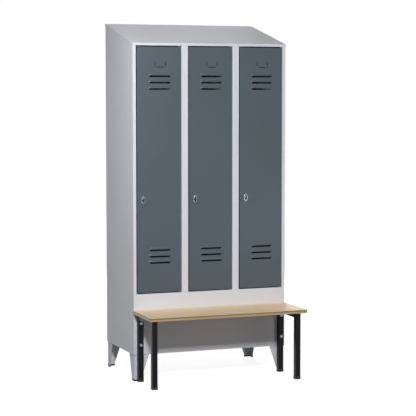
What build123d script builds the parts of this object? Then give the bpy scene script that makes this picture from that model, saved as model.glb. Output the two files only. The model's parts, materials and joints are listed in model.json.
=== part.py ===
"""Steel locker of three bays with a sloped roof, tapered feet and a bench bolted to its front.

Millimetres, +Z up, +X to the viewer's right and +Y to the back. The origin is on the floor, in the
middle of the whole footprint, bench included.
"""
import os
from math import hypot

from build123d import *

os.makedirs("parts", exist_ok=True)

# Locker as a whole
locker_width = 900.0
locker_depth = 500.0
rear_height = 1970.0
roof_rise = 120.0
body_bottom = 146.0
sheet = 1.2
bend_radius = 2.0
rear_flange = 20.0
overrun = 5.0
run_clearance = 0.05

# Front frame round the doors
stile_face = 18.0
stile_plain_face = 12.0
mullion_face = 38.0
head_band = 15.0
sill_height = 480.0
stop_depth = 22.0
stop_lip = 12.0
partition_flange = 14.0

# Shelves, floors and roof
tray_rim = 20.0
base_rim = 15.0
roof_rim = 16.0
hat_space = 275.0
shelf_setback = 10.0

# Coat rails and their sliding hooks
rail_radius = 9.0
rail_wall = 1.5
rail_cup_radius = 14.0
rail_cup_thickness = 3.0
rail_drop = 60.0
hook_width = 10.0
hook_clearance = 0.4
hook_ring_wall = 3.0
hook_shank_width = 7.0
hook_shank_length = 34.0
hook_arm_radius = 20.0
hook_arm_thickness = 6.0

# Doors
door_gap = 5.5
door_thickness = 18.0
door_return = 12.0
door_edge_radius = 1.8
stiffener_width = 60.0
stiffener_flange = 12.0
stiffener_depth = 12.0
stiffener_bottom_inset = 300.0
stiffener_top_inset = 295.0
buffer_radius = 3.0
buffer_inset = 8.75
buffer_end_distance = 200.0
buffer_clearance = 0.3

# Pressings in the doors
pressing_shift = 5.0
louvre_width = 130.0
louvre_height = 14.0
louvre_depth = 5.5
louvre_slit = 9.5
louvre_slit_inset = 6.0
louvre_slit_corner = 3.0
louvre_pitch = 34.5
louvre_rows = 3
upper_louvre_drop = 201.0
lower_louvre_rise = 204.0
card_shift = 8.0
card_width = 66.0
card_side_drop = 84.0
card_side_length = 29.5
card_foot_drop = 119.0
card_foot_length = 48.0
card_rib_width = 3.6
card_rib_depth = 2.4
card_rib_round = 0.8
card_slot = 3.0
card_slot_end = 3.0

# Hinge pins in the frame and bushes in the doors
hinge_inset = 7.0
pin_radius = 3.0
pin_engagement = 12.0
pin_collar_radius = 5.0
pin_collar_height = 3.5
pin_rivet_radius = 4.5
pin_rivet_height = 1.5
bush_radius = 5.0
bush_length = 10.0
bush_flange_radius = 6.5
bush_flange_height = 1.7

# Turn latches
latch_inset = 35.0
latch_height = 996.0
latch_plate_half_width = 11.25
latch_plate_half_height = 21.0
latch_rim_wall = 3.0
latch_rim_height = 16.0
latch_rim_round = 1.4
latch_base = 2.5
latch_neck_radius = 7.0
latch_neck_length = 3.0
barrel_radius = 7.4
barrel_clearance = 0.3
barrel_proud = 0.5
spindle_radius = 5.0
wing_half_thickness = 2.4
wing_half_length = 9.0
wing_height = 10.0
wing_round = 1.0
eye_radius = 2.0
eye_offset = 6.0
lug_thickness = 3.0
lug_clearance = 0.6
lug_inset = 0.8
cam_front = 24.5
cam_thickness = 3.0
cam_width = 18.0
cam_reach = 46.0
cam_square = 7.0
cam_rivet_radius = 5.5
cam_rivet_height = 1.8

# Feet of the locker and their caps
foot_inset = 4.0
foot_sheet = 2.0
foot_bend = 3.0
foot_top_width = 86.0
foot_bottom_width = 37.0
foot_cap_floor = 3.0
foot_cap_height = 9.0
foot_cap_wall = 1.2
foot_cap_end = 4.0

# Bench
seat_overhang = 5.0
seat_depth = 304.0
seat_thickness = 20.0
seat_top = 392.0
seat_corner = 8.0
seat_round = 4.0
tube = 30.0
tube_wall = 2.0
tube_corner = 3.0
leg_side_inset = 18.0
leg_reach = 264.0
seat_angle_width = 20.0
seat_angle_sheet = 3.0
seat_angle_bend = 5.0
leg_cap_floor = 4.0
leg_cap_height = 16.0
leg_cap_wall = 1.0
leg_cap_round = 0.8

# Bolts that hold the bench to the locker, and screws that hold the seat
bolt_radius = 4.0
bolt_head_radius = 8.75
bolt_head_height = 4.4
bolt_head_round = 3.0
bolt_tail = 3.0
bolt_upper_height = 324.0
bolt_lower_height = 204.0
nut_width = 13.0
nut_sides = 6
nut_height = 6.5
hole_clearance = 0.2
screw_radius = 2.5
screw_head_radius = 4.8
screw_head_height = 2.4
screw_head_round = 1.0
screw_bite = 14.0
screw_count = 3
screw_spacing = 84.0

# Wall fixing holes in the rear panel
wall_hole_radius = 4.0
wall_hole_drop = 210.0

# Places that follow from the sizes
left = -locker_width / 2
right = locker_width / 2
front = seat_depth - (seat_depth + locker_depth + sheet) / 2
rear = front + locker_depth
rear_inner = rear - 2 * sheet
front_height = rear_height - roof_rise
head_height = front_height - head_band
shelf_height = head_height - hat_space
slope = roof_rise / locker_depth
roof_drop = sheet * hypot(1, slope)
under_roof = Plane(origin=(0, front, front_height - roof_drop), x_dir=(1, 0, 0), z_dir=(0, -slope, 1))
bays = ("left", "middle", "right")
opening_width = (locker_width - 2 * stile_face - (len(bays) - 1) * mullion_face) / len(bays)
opening_lefts = [left + stile_face + i * (opening_width + mullion_face) for i in range(len(bays))]
mullion_centres = [x - mullion_face / 2 for x in opening_lefts[1:]]
bay_lefts = [left + sheet] + [x + sheet / 2 for x in mullion_centres]
bay_rights = [x - sheet / 2 for x in mullion_centres] + [right - sheet]
door_width = opening_width - 2 * door_gap
door_bottom = sill_height + door_gap
door_top = head_height - door_gap
seat_length = locker_width + 2 * seat_overhang
seat_underside = seat_top - seat_thickness
leg_spread = locker_width / 2 - leg_side_inset
leg_centre_x = leg_spread - tube / 2
front_leg_y = front - leg_reach + tube / 2
rear_leg_y = front - tube / 2
bolt_heights = (bolt_upper_height, bolt_lower_height)
screw_ys = [(front_leg_y + rear_leg_y) / 2 + (i - (screw_count - 1) / 2) * screw_spacing
            for i in range(screw_count)]


def front_plane(y):
    """Sketch plane across the locker at y: X to the right, Z up, and extrusions run forwards."""
    return Plane.XZ.offset(-y)


def hinge_x(bay):
    """The X place of a door's hinge axis."""
    return opening_lefts[bay] + opening_width - door_gap - hinge_inset


def latch_x(bay):
    """The X place of a door's latch spindle."""
    return opening_lefts[bay] + latch_inset


def finish(piece, name):
    """Label a finished piece and write it."""
    piece.label = name
    export_step(piece, f"parts/{name}.step")


# Folded sheet metal

def folded_sheet(points, plane, length, side, thickness=sheet, radius=bend_radius):
    """A bent sheet whose outer faces follow the points, with its thickness on one side of them."""
    with BuildPart() as bent:
        with BuildSketch(plane):
            with BuildLine():
                FilletPolyline(*points, radius=radius)
                offset(amount=thickness, side=side)
            make_face()
        extrude(amount=length)
    return bent.part


def folded_tray(x0, x1, y0, y1, bottom, rim, hollow_bottom):
    """A plate with a rim on its four sides; the hollow starts at hollow_bottom."""
    middle = ((x0 + x1) / 2, (y0 + y1) / 2)
    with BuildPart() as tray:
        with BuildSketch(Plane.XY.offset(bottom)):
            with Locations(middle):
                RectangleRounded(x1 - x0, y1 - y0, bend_radius)
        extrude(amount=rim)
        with BuildSketch(Plane.XY.offset(hollow_bottom)):
            with Locations(middle):
                RectangleRounded(x1 - x0 - 2 * sheet, y1 - y0 - 2 * sheet, bend_radius - sheet)
        extrude(amount=rim - sheet, mode=Mode.SUBTRACT)
    return tray.part


def box_between(low, high, mode=Mode.ADD):
    """A box from its lowest to its highest corner, in the part that is being built."""
    middle = tuple((a + b) / 2 for a, b in zip(low, high))
    with Locations(middle):
        Box(*[b - a for a, b in zip(low, high)], mode=mode)


# Locker body

def side_panel(hand):
    """The outer wall with its rear flange and its front stile; hand is -1 on the left, 1 on the right.

    The left stile is on the latch side of its door, so it ends in a stop lip.
    """
    edge = hand * locker_width / 2
    side = Side.LEFT if hand < 0 else Side.RIGHT
    stile_end = edge - hand * stile_face
    plain_end = edge - hand * stile_plain_face
    wall = [(edge - hand * rear_flange, rear), (edge, rear), (edge, front), (stile_end, front)]
    jamb = [(plain_end, front), (stile_end, front), (stile_end, front + stop_depth)]
    if hand < 0:
        jamb.append((stile_end + stop_lip, front + stop_depth))
    wall_sheet = folded_sheet(wall, Plane.XY.offset(body_bottom), rear_height - body_bottom, side)
    jamb_sheet = folded_sheet(jamb, Plane.XY.offset(sill_height), head_height - sill_height, side)
    with BuildPart() as panel:
        add(wall_sheet)
        cut_x = sorted((plain_end, stile_end - hand * overrun))
        box_between((cut_x[0], front - overrun, sill_height),
                    (cut_x[1], front + 2 * sheet, head_height), Mode.SUBTRACT)
        add(jamb_sheet)
        split(bisect_by=under_roof, keep=Keep.BOTTOM)
    return panel.part


finish(side_panel(-1), "side_panel_left")
finish(side_panel(1), "side_panel_right")

with BuildPart() as rear_panel:
    box_between((left + bend_radius, rear_inner, body_bottom),
                (right - bend_radius, rear - sheet, rear_height))
    split(bisect_by=under_roof, keep=Keep.BOTTOM)
    with BuildSketch(front_plane(rear)):
        with Locations(*[((bay_lefts[i] + bay_rights[i]) / 2, rear_height - wall_hole_drop)
                         for i in (0, -1)]):
            Circle(wall_hole_radius)
    extrude(amount=locker_depth / 2, mode=Mode.SUBTRACT)
finish(rear_panel.part, "rear_panel")

finish(folded_tray(left + sheet, right - sheet, front + sheet, rear_inner,
                   body_bottom, base_rim, body_bottom + sheet), "base_panel")
finish(folded_tray(left + sheet, right - sheet, front + stop_depth, rear_inner,
                   sill_height - tray_rim, tray_rim, sill_height - tray_rim), "compartment_floor")

sill_points = [(front, body_bottom), (front, sill_height), (front + stop_depth, sill_height)]
sill_sheet = folded_sheet(sill_points, Plane.YZ.offset(left + stile_face),
                          locker_width - 2 * stile_face, Side.RIGHT)
with BuildPart() as lower_front_panel:
    add(sill_sheet)
    with BuildSketch(front_plane(front)):
        with Locations(*[(s * leg_centre_x, z) for s in (-1, 1) for z in bolt_heights]):
            Circle(bolt_radius + hole_clearance)
    extrude(amount=overrun, both=True, mode=Mode.SUBTRACT)
    with BuildSketch(Plane.XY.offset(sill_height)):
        with Locations(*[(hinge_x(i), front + hinge_inset) for i in range(len(bays))]):
            Circle(pin_radius + run_clearance)
    extrude(amount=-overrun, mode=Mode.SUBTRACT)
finish(lower_front_panel.part, "lower_front_panel")

head_points = [(front, front_height), (front, head_height), (front + stop_depth, head_height)]
head_sheet = folded_sheet(head_points, Plane.YZ.offset(left + stile_face),
                          locker_width - 2 * stile_face, Side.LEFT)
with BuildPart() as top_rail:
    add(head_sheet)
    split(bisect_by=under_roof, keep=Keep.BOTTOM)
    with BuildSketch(Plane.XY.offset(head_height)):
        with Locations(*[(hinge_x(i), front + hinge_inset) for i in range(len(bays))]):
            Circle(pin_radius + run_clearance)
    extrude(amount=overrun, mode=Mode.SUBTRACT)
finish(top_rail.part, "top_rail")

# The roof is a sloped lid whose rims fold down outside the walls; its front rim shows above the doors.
roof_front = front - sheet
roof_rear = rear + sheet
roof_front_top = front_height - slope * sheet
roof_rear_top = rear_height + slope * sheet
with BuildPart() as roof_panel:
    with BuildSketch(Plane.YZ.offset(left - sheet)):
        with BuildLine():
            Polyline((roof_front, head_height), (roof_front, roof_front_top), (roof_rear, roof_rear_top),
                     (roof_rear, roof_rear_top - roof_rim), close=True)
        make_face()
    extrude(amount=locker_width + 2 * sheet)
    fillet(roof_panel.faces().sort_by(SortBy.AREA)[-2:].sort_by(Axis.Z)[-1].edges(), bend_radius)
    with BuildSketch(Plane.YZ.offset(left)):
        with BuildLine():
            Polyline((front, body_bottom), (front, front_height - roof_drop),
                     (rear, rear_height - roof_drop), (rear, body_bottom), close=True)
        make_face()
    extrude(amount=locker_width, mode=Mode.SUBTRACT)
finish(roof_panel.part, "roof_panel")

for name, centre in zip(("left", "right"), mullion_centres):
    half = mullion_face / 2
    mullion_points = [(centre - half, front + stop_depth), (centre - half, front), (centre + half, front),
                      (centre + half, front + stop_depth), (centre + half + stop_lip, front + stop_depth)]
    finish(folded_sheet(mullion_points, Plane.XY.offset(sill_height), head_height - sill_height, Side.LEFT),
           f"mullion_{name}")

    wall_x = centre - sheet / 2
    lower_points = [(wall_x + partition_flange, front + sheet), (wall_x, front + sheet),
                    (wall_x, rear_inner), (wall_x + partition_flange, rear_inner)]
    upper_points = [(wall_x, front + stop_depth)] + lower_points[2:]
    lower_sheet = folded_sheet(lower_points, Plane.XY.offset(sill_height),
                               head_height - sill_height, Side.RIGHT)
    upper_sheet = folded_sheet(upper_points, Plane.XY.offset(head_height),
                               rear_height - head_height, Side.RIGHT)
    with BuildPart() as partition:
        add(lower_sheet)
        add(upper_sheet)
        split(bisect_by=under_roof, keep=Keep.BOTTOM)
    finish(partition.part, f"partition_{name}")

# Inside each bay: hat shelf, coat rail and a double hook that slides on it

rail_y = (front + rear) / 2
rail_z = shelf_height - rail_drop
for bay, name in enumerate(bays):
    x0, x1 = bay_lefts[bay], bay_rights[bay]
    finish(folded_tray(x0, x1, front + stop_depth + shelf_setback, rear_inner - sheet,
                       shelf_height - tray_rim, tray_rim, shelf_height - tray_rim), f"hat_shelf_{name}")

    with BuildPart() as coat_rail:
        with BuildSketch(Plane.YZ.offset(x0)):
            with Locations((rail_y, rail_z)):
                Circle(rail_radius)
        extrude(amount=x1 - x0)
        for start, reach in ((x0, rail_cup_thickness), (x1, -rail_cup_thickness)):
            with BuildSketch(Plane.YZ.offset(start)):
                with Locations((rail_y, rail_z)):
                    Circle(rail_cup_radius)
            extrude(amount=reach)
        with BuildSketch(Plane.YZ.offset(x0)):
            with Locations((rail_y, rail_z)):
                Circle(rail_radius - rail_wall)
        extrude(amount=x1 - x0, mode=Mode.SUBTRACT)
    finish(coat_rail.part, f"coat_rail_{name}")

    ring_inner = rail_radius + hook_clearance
    arm_centre_z = rail_z - ring_inner - hook_shank_length
    arm_middle = (rail_y, arm_centre_z)
    with BuildPart() as coat_hook:
        with BuildSketch(Plane.YZ.offset((x0 + x1 - hook_width) / 2)):
            with Locations(arm_middle):
                Circle(hook_arm_radius)
                Circle(hook_arm_radius - hook_arm_thickness, mode=Mode.SUBTRACT)
            with Locations((rail_y, arm_centre_z + hook_arm_radius / 2)):
                Rectangle(2 * hook_arm_radius, hook_arm_radius, mode=Mode.SUBTRACT)
            with Locations((rail_y, (rail_z + arm_centre_z - hook_arm_radius + hook_arm_thickness / 2) / 2)):
                Rectangle(hook_shank_width, rail_z - arm_centre_z + hook_arm_radius - hook_arm_thickness / 2)
            with Locations((rail_y, rail_z)):
                Circle(ring_inner + hook_ring_wall)
                Circle(ring_inner, mode=Mode.SUBTRACT)
        extrude(amount=hook_width)
    finish(coat_hook.part, f"coat_hook_{name}")

# Feet: two tapered flanges on a corner, a plate under the base panel and a plastic cap

def foot(hand_x, hand_y):
    """A pressed foot for one corner; the hands are -1 or 1 towards the corner it stands at."""
    x = hand_x * (locker_width / 2 - foot_inset)
    y = (front + foot_inset) if hand_y < 0 else (rear - foot_inset)
    side = Side.RIGHT if hand_x * hand_y > 0 else Side.LEFT
    x_wide, y_wide = x - hand_x * foot_top_width, y - hand_y * foot_top_width
    x_narrow, y_narrow = x - hand_x * foot_bottom_width, y - hand_y * foot_bottom_width
    x_past, y_past = x_wide - hand_x * overrun, y_wide - hand_y * overrun
    flanges = folded_sheet([(x_wide, y), (x, y), (x, y_wide)], Plane.XY.offset(foot_cap_floor),
                           body_bottom - foot_cap_floor, side, foot_sheet, foot_bend)
    with BuildPart() as part:
        add(flanges)
        with BuildSketch(front_plane(y)):
            with BuildLine():
                Polyline((x_narrow, foot_cap_floor), (x_past, foot_cap_floor), (x_past, body_bottom),
                         (x_wide, body_bottom), close=True)
            make_face()
        extrude(amount=foot_top_width, both=True, mode=Mode.SUBTRACT)
        with BuildSketch(Plane.YZ.offset(x)):
            with BuildLine():
                Polyline((y_narrow, foot_cap_floor), (y_past, foot_cap_floor), (y_past, body_bottom),
                         (y_wide, body_bottom), close=True)
            make_face()
        extrude(amount=foot_top_width, both=True, mode=Mode.SUBTRACT)
        inner_x, inner_y = x - hand_x * foot_bend, y - hand_y * foot_bend
        with BuildSketch(Plane.XY.offset(body_bottom - foot_sheet)):
            with BuildLine():
                Polyline((x_wide, y), (inner_x, y), (x, inner_y), (x, y_wide), close=True)
            make_face()
        extrude(amount=foot_sheet)
    return part.part


def foot_cap(hand_x, hand_y, carried):
    """The plastic cap that grips a foot's lower edge, cut to the foot that it carries."""
    x = hand_x * (locker_width / 2 - foot_inset + foot_cap_wall)
    y = (front + foot_inset - foot_cap_wall) if hand_y < 0 else (rear - foot_inset + foot_cap_wall)
    length = foot_bottom_width + foot_cap_end + foot_cap_wall
    breadth = foot_sheet + 2 * foot_cap_wall
    with BuildPart() as cap:
        for size_x, size_y in ((length, breadth), (breadth, length)):
            xs = sorted((x, x - hand_x * size_x))
            ys = sorted((y, y - hand_y * size_y))
            box_between((xs[0], ys[0], 0), (xs[1], ys[1], foot_cap_height))
        add(carried, mode=Mode.SUBTRACT)
    return cap.part


foot_corners = {"front_left": (-1, -1), "front_right": (1, -1), "rear_left": (-1, 1), "rear_right": (1, 1)}
foot_cap_solids = []
for name, (hand_x, hand_y) in foot_corners.items():
    one_foot = foot(hand_x, hand_y)
    foot_cap_solids.append(foot_cap(hand_x, hand_y, one_foot).solid())
    finish(one_foot, f"foot_{name}")
finish(Compound(foot_cap_solids), "foot_caps")

# Bench: a board on two mitred frames of square tube

with BuildPart() as seat_board:
    with BuildSketch(Plane.XY.offset(seat_underside)):
        with Locations((0, front - seat_depth / 2)):
            RectangleRounded(seat_length, seat_depth, seat_corner)
    extrude(amount=seat_thickness)
    fillet(seat_board.faces().group_by(Axis.Z)[-1].edges(), seat_round)
    fillet(seat_board.faces().group_by(Axis.Z)[0].edges(), seat_round)
    with BuildSketch(Plane.XY.offset(seat_underside)):
        with Locations(*[(s * leg_centre_x, y) for s in (-1, 1) for y in screw_ys]):
            Circle(screw_radius + run_clearance)
    extrude(amount=screw_bite, mode=Mode.SUBTRACT)
finish(seat_board.part, "seat_board")


def square_tube(plane, centre, length):
    """A straight length of the bench's tube, which stands on a plane at a centre."""
    with BuildPart() as profile:
        with BuildSketch(plane):
            with Locations(centre):
                RectangleRounded(tube, tube, tube_corner)
                RectangleRounded(tube - 2 * tube_wall, tube - 2 * tube_wall, tube_corner - tube_wall,
                                 mode=Mode.SUBTRACT)
        extrude(amount=length)
    return profile.part


front_mitre = Plane(origin=(0, front - leg_reach, seat_underside), x_dir=(1, 0, 0), z_dir=(0, 1, 1))
rear_mitre = Plane(origin=(0, front, seat_underside), x_dir=(1, 0, 0), z_dir=(0, -1, 1))
leg_length = seat_underside - leg_cap_floor
for name, hand in (("left", -1), ("right", 1)):
    x = hand * leg_centre_x
    front_tube = square_tube(Plane.XY.offset(leg_cap_floor), (x, front_leg_y), leg_length)
    rear_tube = square_tube(Plane.XY.offset(leg_cap_floor), (x, rear_leg_y), leg_length)
    rail_tube = square_tube(front_plane(front), (x, seat_underside - tube / 2), leg_reach)
    with BuildPart() as front_leg:
        add(front_tube)
        split(bisect_by=front_mitre, keep=Keep.BOTTOM)
    finish(front_leg.part, f"bench_front_leg_{name}")

    with BuildPart() as rear_leg:
        add(rear_tube)
        split(bisect_by=rear_mitre, keep=Keep.BOTTOM)
        with BuildSketch(front_plane(front)):
            with Locations(*[(x, z) for z in bolt_heights]):
                Circle(bolt_radius + hole_clearance)
        extrude(amount=tube, mode=Mode.SUBTRACT)
    finish(rear_leg.part, f"bench_rear_leg_{name}")

    with BuildPart() as side_rail:
        add(rail_tube)
        split(bisect_by=front_mitre, keep=Keep.TOP)
        split(bisect_by=rear_mitre, keep=Keep.TOP)
        with BuildSketch(Plane.XY.offset(seat_underside)):
            with Locations(*[(x, y) for y in screw_ys]):
                Circle(screw_radius + hole_clearance)
        extrude(amount=-tube, mode=Mode.SUBTRACT)
    finish(side_rail.part, f"bench_side_rail_{name}")

stiffener_y = (front_leg_y + rear_leg_y) / 2
stiffener_points = [(stiffener_y + seat_angle_width, seat_underside), (stiffener_y, seat_underside),
                    (stiffener_y, seat_underside - seat_angle_width)]
finish(folded_sheet(stiffener_points, Plane.YZ.offset(tube - leg_spread), 2 * (leg_spread - tube),
                    Side.LEFT, seat_angle_sheet, seat_angle_bend), "seat_stiffener")

leg_places = [(s * leg_centre_x, y) for s in (-1, 1) for y in (front_leg_y, rear_leg_y)]
leg_cap_solids = []
cap_width = tube + 2 * leg_cap_wall
for place in leg_places:
    with BuildPart() as leg_cap:
        with BuildSketch():
            with Locations(place):
                RectangleRounded(cap_width, cap_width, tube_corner + leg_cap_wall)
        extrude(amount=leg_cap_height)
        fillet(leg_cap.edges().filter_by(Plane.XY), leg_cap_round)
        with BuildSketch(Plane.XY.offset(leg_cap_floor)):
            with Locations(place):
                RectangleRounded(tube, tube, tube_corner)
        extrude(amount=leg_cap_height, mode=Mode.SUBTRACT)
    leg_cap_solids.append(leg_cap.part.solid())
finish(Compound(leg_cap_solids), "bench_leg_caps")

bolt_solids, nut_solids = [], []
for x, z in [(s * leg_centre_x, z) for s in (-1, 1) for z in bolt_heights]:
    with BuildPart() as bolt:
        with BuildSketch(front_plane(front - tube)):
            with Locations((x, z)):
                Circle(bolt_head_radius)
        extrude(amount=bolt_head_height)
        fillet(bolt.faces().sort_by(Axis.Y)[0].edges(), bolt_head_round)
        with BuildSketch(front_plane(front - tube)):
            with Locations((x, z)):
                Circle(bolt_radius)
        extrude(amount=-(tube + sheet + nut_height + bolt_tail))
    bolt_solids.append(bolt.part.solid())
    with BuildPart() as nut:
        with BuildSketch(front_plane(front + sheet)):
            with Locations((x, z)):
                RegularPolygon(nut_width / 2, nut_sides, major_radius=False)
                Circle(bolt_radius + run_clearance, mode=Mode.SUBTRACT)
        extrude(amount=-nut_height)
    nut_solids.append(nut.part.solid())
finish(Compound(bolt_solids), "bench_bolts")
finish(Compound(nut_solids), "bench_nuts")

screw_solids = []
for place in [(s * leg_centre_x, y) for s in (-1, 1) for y in screw_ys]:
    with BuildPart() as screw:
        with BuildSketch(Plane.XY.offset(seat_underside - tube)):
            with Locations(place):
                Circle(screw_head_radius)
        extrude(amount=-screw_head_height)
        fillet(screw.faces().sort_by(Axis.Z)[0].edges(), screw_head_round)
        with BuildSketch(Plane.XY.offset(seat_underside - tube)):
            with Locations(place):
                Circle(screw_radius)
        extrude(amount=tube + screw_bite)
    screw_solids.append(screw.part.solid())
finish(Compound(screw_solids), "seat_screws")

# Hinge pins, riveted in the sill and the head, and the rubber buffers on the stop lips


def hinge_pin(x, z, up):
    """A collared pin at a sill (up is 1) or a head (up is -1), with its rivet behind the flange."""
    rivet_low = -sheet - pin_rivet_height
    with BuildPart() as pin:
        with BuildSketch(Plane(origin=(x, front + hinge_inset, z), x_dir=(1, 0, 0), z_dir=(0, -1, 0))):
            with BuildLine():
                Polyline((0, up * rivet_low), (pin_rivet_radius, up * rivet_low),
                         (pin_rivet_radius, -up * sheet), (pin_radius, -up * sheet), (pin_radius, 0),
                         (pin_collar_radius, 0), (pin_collar_radius, up * pin_collar_height),
                         (pin_radius, up * pin_collar_height),
                         (pin_radius, up * (door_gap + pin_engagement)),
                         (0, up * (door_gap + pin_engagement)), close=True)
            make_face()
        revolve(axis=Axis((x, front + hinge_inset, z), (0, 0, 1)))
    return pin.part


pin_solids, buffer_solids = [], []
for bay in range(len(bays)):
    pin_solids.append(hinge_pin(hinge_x(bay), sill_height, 1).solid())
    pin_solids.append(hinge_pin(hinge_x(bay), head_height, -1).solid())
    for z in (sill_height + buffer_end_distance, head_height - buffer_end_distance):
        with BuildPart() as rubber_buffer:
            with BuildSketch(front_plane(front + stop_depth)):
                with Locations((opening_lefts[bay] + buffer_inset, z)):
                    Circle(buffer_radius)
            extrude(amount=stop_depth - door_thickness - buffer_clearance)
        buffer_solids.append(rubber_buffer.part.solid())
finish(Compound(pin_solids), "hinge_pins")
finish(Compound(buffer_solids), "door_buffers")

# Doors

def louvre_hood(x, slit_z, setback):
    """The hood above a slit at slit_z, a wedge with round ends that is open below.

    With a setback it is the hollow behind the hood, the same wedge moved back through the sheet.
    """
    bottom = slit_z + louvre_slit / 2
    base = front + setback
    wedge = [(base, bottom), (base - louvre_depth, bottom), (base, bottom + louvre_height)]
    reach = louvre_width / 2 - louvre_height
    with BuildPart() as hood:
        with BuildSketch(Plane.YZ.offset(x - reach)):
            with BuildLine():
                Polyline(*wedge, close=True)
            make_face()
        extrude(amount=2 * reach)
        for hand in (-1, 1):
            with BuildSketch(Plane.YZ.offset(x + hand * reach)):
                with BuildLine():
                    Polyline(*wedge, close=True)
                make_face()
            revolve(axis=Axis((x + hand * reach, 0, bottom), (0, hand, 0)), revolution_arc=90)
    return hood.part


def door_panel(bay):
    """The folded door with its louvres, its lanced card clips and its holes."""
    x_middle = opening_lefts[bay] + opening_width / 2
    z_middle = (door_bottom + door_top) / 2
    door_height = door_top - door_bottom
    slits = [(x_middle + pressing_shift, group + (row - (louvre_rows - 1) / 2) * louvre_pitch)
             for group in (head_height - upper_louvre_drop, sill_height + lower_louvre_rise)
             for row in range(louvre_rows)]
    hoods = [louvre_hood(*slit, 0) for slit in slits]
    hollows = [louvre_hood(*slit, sheet * hypot(1, louvre_depth / louvre_height)) for slit in slits]
    with BuildPart() as door:
        with BuildSketch(front_plane(front)):
            with Locations((x_middle, z_middle)):
                Rectangle(door_width, door_height)
        extrude(amount=-door_thickness)
        fillet(door.faces().sort_by(Axis.Y)[0].edges(), door_edge_radius)
        with BuildSketch(front_plane(front + sheet)):
            with Locations((x_middle, z_middle)):
                Rectangle(door_width - 2 * sheet, door_height - 2 * sheet)
        extrude(amount=-(door_thickness - 2 * sheet), mode=Mode.SUBTRACT)
        with BuildSketch(front_plane(front + door_thickness)):
            with Locations((x_middle, z_middle)):
                Rectangle(door_width - 2 * door_return, door_height - 2 * door_return)
        extrude(amount=2 * sheet, mode=Mode.SUBTRACT)
        add(hoods)
        add(hollows, mode=Mode.SUBTRACT)
        with BuildSketch(front_plane(front + sheet)) as slit_outlines:
            with Locations(*slits):
                Rectangle(louvre_width - 2 * louvre_slit_inset, louvre_slit)
            lower_corners = [v for face in slit_outlines.faces() for v in face.vertices().sort_by(Axis.Y)[:2]]
            fillet(lower_corners, louvre_slit_corner)
        extrude(amount=2 * sheet, mode=Mode.SUBTRACT)
        card_middle = x_middle + card_shift
        card_side_middle = head_height - card_side_drop - card_side_length / 2
        with BuildSketch(front_plane(front)):
            for hand in (-1, 1):
                with Locations((card_middle + hand * card_width / 2, card_side_middle)):
                    SlotOverall(card_side_length, card_rib_width, rotation=90)
            with Locations((card_middle, head_height - card_foot_drop)):
                SlotOverall(card_foot_length, card_rib_width)
        extrude(amount=card_rib_depth)
        rib_faces = door.faces().filter_by(Axis.Y).filter_by(
            lambda f: abs(f.center().Y - (front - card_rib_depth)) < run_clearance)
        fillet(rib_faces.edges(), card_rib_round)
        slot_reach = card_rib_width / 2 + card_slot
        with BuildSketch(front_plane(front + sheet)):
            for hand in (-1, 1):
                with Locations((card_middle + hand * (card_width - slot_reach) / 2, card_side_middle)):
                    Rectangle(slot_reach, card_side_length - 2 * card_slot_end)
            with Locations((card_middle, head_height - card_foot_drop + slot_reach / 2)):
                Rectangle(card_foot_length - 2 * card_slot_end, slot_reach)
        extrude(amount=card_rib_depth, mode=Mode.SUBTRACT)
        with BuildSketch(front_plane(front)):
            with Locations((latch_x(bay), latch_height)):
                Circle(latch_neck_radius + run_clearance)
        extrude(amount=-2 * sheet, mode=Mode.SUBTRACT)
        with BuildSketch(Plane.XY.offset(door_bottom)):
            with Locations((hinge_x(bay), front + hinge_inset)):
                Circle(bush_radius + run_clearance)
        extrude(amount=door_height, mode=Mode.SUBTRACT)
    return door.part


def door_stiffener(bay):
    """The hat-shaped channel up the inside of a door, between its two groups of louvres."""
    x = opening_lefts[bay] + opening_width / 2
    skin = front + sheet
    half = stiffener_width / 2
    points = [(x - half - stiffener_flange, skin), (x - half, skin), (x - half, skin + stiffener_depth),
              (x + half, skin + stiffener_depth), (x + half, skin), (x + half + stiffener_flange, skin)]
    bottom = sill_height + stiffener_bottom_inset
    length = head_height - stiffener_top_inset - bottom
    return folded_sheet(points, Plane.XY.offset(bottom), length, Side.LEFT)


def door_bush(bay, z, up):
    """A flanged bush in a door's lower edge (up is 1) or upper edge (up is -1)."""
    axis_point = (hinge_x(bay), front + hinge_inset, z)
    bore = pin_radius + run_clearance
    with BuildPart() as bush:
        with BuildSketch(Plane(origin=axis_point, x_dir=(1, 0, 0), z_dir=(0, -1, 0))):
            with BuildLine():
                Polyline((bore, -up * bush_flange_height), (bush_flange_radius, -up * bush_flange_height),
                         (bush_flange_radius, 0), (bush_radius, 0), (bush_radius, up * bush_length),
                         (bore, up * bush_length), close=True)
            make_face()
        revolve(axis=Axis(axis_point, (0, 0, 1)))
    return bush.part


# Turn latches, each with a fixed housing, a winged knob and a cam behind the door

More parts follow.
